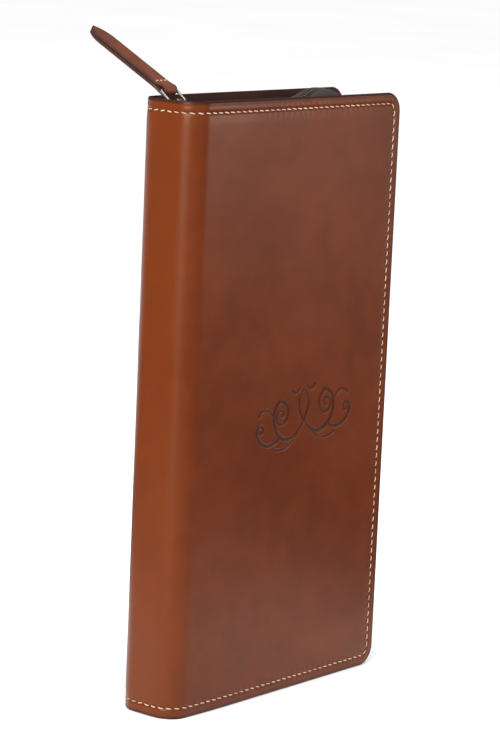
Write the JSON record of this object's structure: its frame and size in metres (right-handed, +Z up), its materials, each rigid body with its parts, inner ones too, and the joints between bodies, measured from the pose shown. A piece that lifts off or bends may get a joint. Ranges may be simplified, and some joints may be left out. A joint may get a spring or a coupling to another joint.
{
  "type": "zip-around book cover with book",
  "caption": "Slim upright leather zip-around book cover with stitched edges and a leather pull tab, holding a thin devotional book with ribbon markers.",
  "frame": {"origin": "foot of the spine, midway through the thickness of its leather and midway between the covers", "axes": "+X from the spine to the fore edge, +Y from the front cover to the back cover, +Z up along the spine"},
  "size_m": [0.128, 0.0617, 0.2644],
  "materials": {
    "cover_leather": "semi-gloss smooth leather",
    "lining": "matt woven lining",
    "pocket_leather": "satin thin leather",
    "stiffener_board": "grey board",
    "thread": "waxed thread",
    "zip_tape": "twill tape",
    "zip_coil": "moulded coil",
    "nickel": "polished nickel",
    "tab_leather": "semi-gloss smooth leather",
    "book_cover": "fine-grained black",
    "page_paper": "thin paper",
    "end_leaf": "laid paper",
    "end_band": "sewn silk",
    "ribbon_red": "satin ribbon",
    "ribbon_gold": "satin ribbon"
  },
  "bodies": {
    "spine": {"spine_leather": "cover_leather", "spine_board": "stiffener_board", "spine_lining": "lining", "spine_stitching": "thread", "book_spine": "book_cover", "page_binding": "page_paper", "headband": "end_band", "tailband": "end_band"},
    "front_cover": {"front_leather": "cover_leather", "front_board": "stiffener_board", "front_lining": "lining", "front_sleeve": "pocket_leather", "front_stitching": "thread", "front_zip_tape": "zip_tape", "front_zip_coil": "zip_coil", "front_zip_stops": "nickel", "book_front_cover": "book_cover"},
    "back_cover": {"back_leather": "cover_leather", "back_board": "stiffener_board", "back_lining": "lining", "back_sleeve": "pocket_leather", "back_stitching": "thread", "back_zip_tape": "zip_tape", "back_zip_coil": "zip_coil", "back_zip_stops": "nickel", "book_back_cover": "book_cover"},
    "front_pages": {"front_end_leaf": "end_leaf", "front_section_outer": "page_paper", "front_section_middle": "page_paper", "front_section_inner": "page_paper"},
    "back_pages": {"back_end_leaf": "end_leaf", "back_section_outer": "page_paper", "back_section_middle": "page_paper", "back_section_inner": "page_paper", "ribbon_marker_long": "ribbon_red", "ribbon_marker_short": "ribbon_gold"},
    "slider": {"slider_body": "nickel", "slider_lug": "nickel"},
    "loop": {"pull_loop": "nickel"},
    "tab": {"pull_tab": "tab_leather", "pull_tab_stitching": "thread"}
  },
  "joints": [
    {"name": "front_cover_hinge", "type": "hinge", "parent": "spine", "child": "front_cover", "pos_m": [0.00103, -0.01357, 0.12], "axis": [0, 0, 1], "range_deg": [-90, 0]},
    {"name": "back_cover_hinge", "type": "hinge", "parent": "spine", "child": "back_cover", "pos_m": [0.00103, 0.01357, 0.12], "axis": [0, 0, 1], "range_deg": [0, 90]},
    {"name": "front_pages_turn", "type": "hinge", "parent": "spine", "child": "front_pages", "pos_m": [0.0056, -0.009, 0.12], "axis": [0, 0, 1], "range_deg": [-90, 0]},
    {"name": "back_pages_turn", "type": "hinge", "parent": "spine", "child": "back_pages", "pos_m": [0.0056, 0.009, 0.12], "axis": [0, 0, 1], "range_deg": [0, 90]},
    {"name": "zip_slide", "type": "slide", "parent": "front_cover", "child": "slider", "axis": [1, 0, 0], "range_m": [0, 0.06]},
    {"name": "loop_swing", "type": "hinge", "parent": "slider", "child": "loop", "pos_m": [0.0064, 0, 0.23855], "axis": [1, 0, 0], "range_deg": [-8, 84]},
    {"name": "tab_swing", "type": "hinge", "parent": "loop", "child": "tab", "pos_m": [0.0064, 0.00552, 0.24286], "axis": [1, 0, 0], "range_deg": [-12, 60]}
  ],
  "couplings": [
    {"joint": "front_pages_turn", "follows": "front_cover_hinge", "ratio": 1},
    {"joint": "back_pages_turn", "follows": "back_cover_hinge", "ratio": 1}
  ]
}
